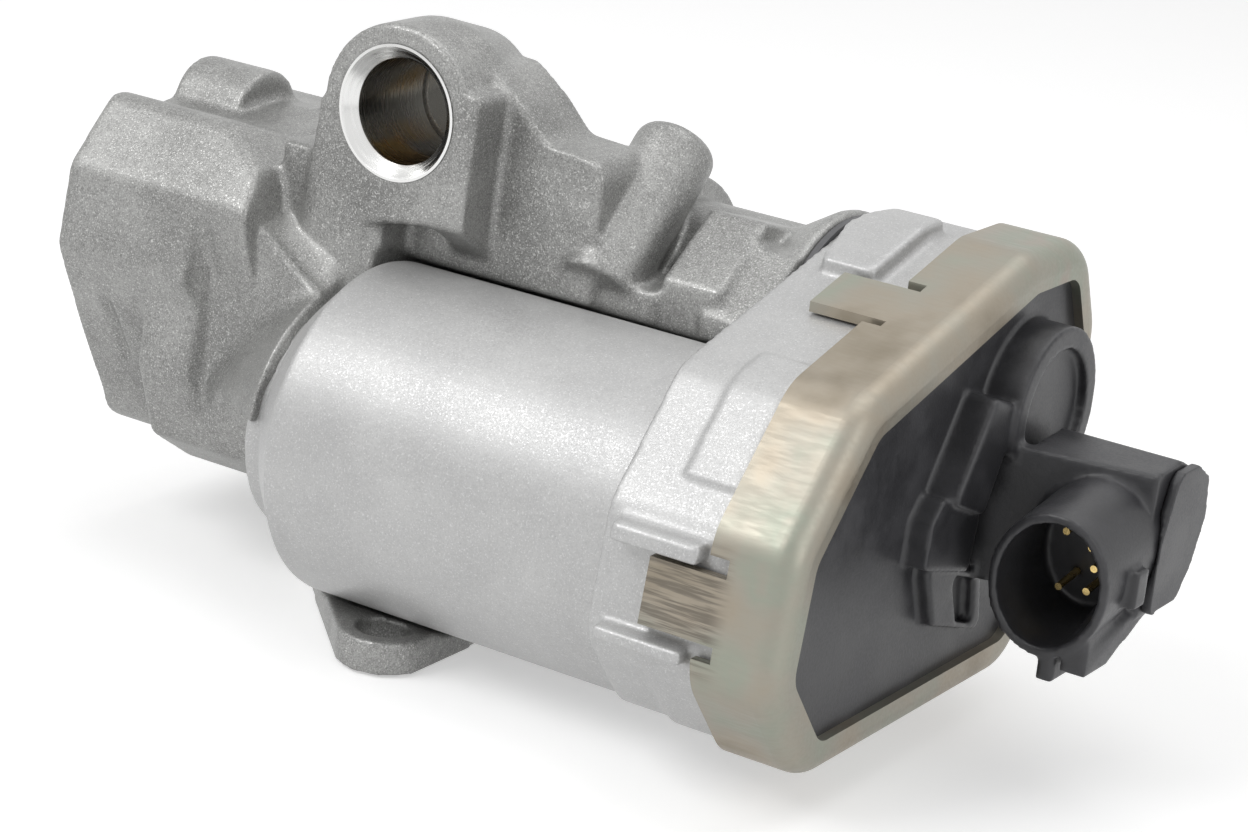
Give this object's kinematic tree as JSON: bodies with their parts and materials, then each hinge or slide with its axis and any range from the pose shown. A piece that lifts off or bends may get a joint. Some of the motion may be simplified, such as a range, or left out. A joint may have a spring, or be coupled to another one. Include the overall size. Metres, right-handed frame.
{
  "type": "exhaust gas recirculation valve",
  "caption": "Electric exhaust gas recirculation valve: cast body with coolant port, poppet driven by motor, gears and cam drum, plastic cover held by a bent steel frame.",
  "frame": {"origin": "centre of the gas inlet port, on the face of the mounting flange", "axes": "+Z away from the flange face, +X along the valve stem from the outlet to the gear cover, motor on the -Y side"},
  "size_m": [0.1409, 0.081, 0.0743],
  "materials": {
    "cast_body": "shot-blasted sand-grey casting",
    "cast_housing": "bright satin die casting",
    "valve_steel": "turned heat-resistant steel",
    "ground_steel": "ground and polished",
    "spring_steel": "drawn wire",
    "bronze": "sintered bronze",
    "graphite_seal": "dark filled seal",
    "gear_plastic": "natural moulded",
    "brass_gear": "cut brass",
    "magnet": "dark ferrite",
    "core_steel": "stacked laminations",
    "copper": "copper",
    "carbon": "pressed carbon",
    "motor_steel": "plated sheet steel",
    "motor_plastic": "moulded",
    "screw_steel": "plated",
    "gasket": "coated gasket",
    "seal_rubber": "moulded",
    "cover_plastic": "glass-filled, fine grain",
    "board": "coated board",
    "contact_gold": "gold plated",
    "zinc_clamp": "yellow passivated zinc"
  },
  "bodies": {
    "housing": {"valve_body": "cast_body", "seat_ring": "valve_steel", "guide_bush": "bronze", "stem_seal": "graphite_seal", "return_spring": "spring_steel", "drum_bushes": "bronze", "intermediate_axle": "ground_steel", "brushes": "carbon", "brush_holder": "motor_plastic", "motor_magnets": "magnet", "motor_can": "motor_steel", "motor_bearings": "ground_steel", "motor_end_plate": "motor_plastic", "motor_screws": "screw_steel", "housing_screws": "screw_steel", "body_gasket": "gasket", "actuator_housing": "cast_housing", "cover_seal": "seal_rubber", "gear_cover": "cover_plastic", "sensor_board": "board", "connector_terminals": "contact_gold", "connector_end_plate": "cover_plastic", "clamp_frame": "zinc_clamp"},
    "rotor": {"motor_shaft": "ground_steel", "armature_core": "core_steel", "armature_windings": "copper", "commutator": "copper", "motor_pinion": "brass_gear"},
    "intermediate": {"intermediate_gear": "gear_plastic"},
    "output": {"output_gear": "gear_plastic", "cam_drum": "valve_steel", "sensor_magnet": "magnet"},
    "valve": {"valve_stem": "valve_steel", "valve_disc": "valve_steel", "spring_retainer": "spring_steel", "cross_pin": "ground_steel"}
  },
  "joints": [
    {"name": "rotor_spin", "type": "hinge", "parent": "housing", "child": "rotor", "pos_m": [0.009, -0.028, 0.024], "axis": [1, 0, 0], "range_deg": [0, 673.2]},
    {"name": "intermediate_spin", "type": "hinge", "parent": "housing", "child": "intermediate", "pos_m": [0.0727, -0.01532, 0.02802], "axis": [1, 0, 0], "range_deg": [-198, 0]},
    {"name": "output_turn", "type": "hinge", "parent": "housing", "child": "output", "pos_m": [0.0675, 0, 0.04], "axis": [1, 0, 0], "range_deg": [0, 60]},
    {"name": "valve_slide", "type": "slide", "parent": "housing", "child": "valve", "axis": [-1, 0, 0], "range_m": [0, 0.007], "stiffness_N_per_m": 600, "springref_m": -0.006, "deforming": ["return_spring"]}
  ],
  "couplings": [
    {"joint": "rotor_spin", "follows": "valve_slide", "rad_per_m": 1678.5},
    {"joint": "intermediate_spin", "follows": "valve_slide", "rad_per_m": -493.68},
    {"joint": "output_turn", "follows": "valve_slide", "rad_per_m": 149.6}
  ]
}
